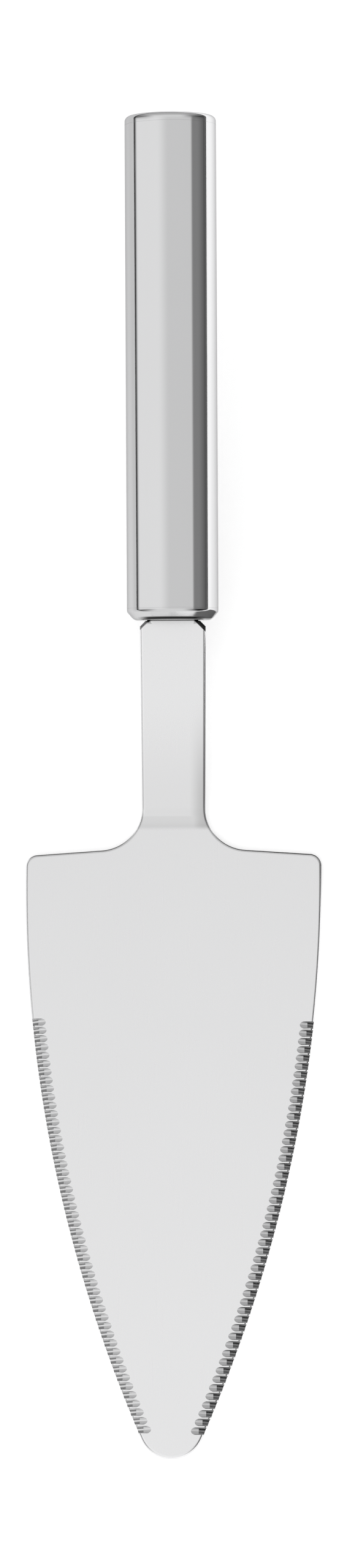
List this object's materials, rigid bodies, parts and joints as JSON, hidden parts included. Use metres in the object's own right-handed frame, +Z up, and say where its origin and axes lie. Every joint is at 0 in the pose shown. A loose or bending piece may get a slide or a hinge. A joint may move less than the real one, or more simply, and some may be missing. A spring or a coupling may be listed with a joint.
{
  "type": "pizza server",
  "caption": "Steel pizza server: a pointed blade with serrated edges, bent at the neck and set in a hollow oval tube handle with capped ends.",
  "frame": {"origin": "middle of the server's footprint, on the surface that the blade lies flat on", "axes": "+Y from the blade's tip towards the handle's butt, +Z up from the blade's upper face, +X to the right as seen from above with the handle away"},
  "size_m": [0.0628, 0.2816, 0.047],
  "materials": {
    "satin_steel": "fine satin stainless steel",
    "handle_steel": "polished stainless steel tube",
    "cap_steel": "polished stainless steel",
    "plug_plastic": "plain moulded"
  },
  "bodies": {
    "root": {"blade": "satin_steel", "front_cap": "cap_steel", "handle_tube": "handle_steel", "tang_plug": "plug_plastic", "butt_cap": "cap_steel"}
  },
  "joints": []
}
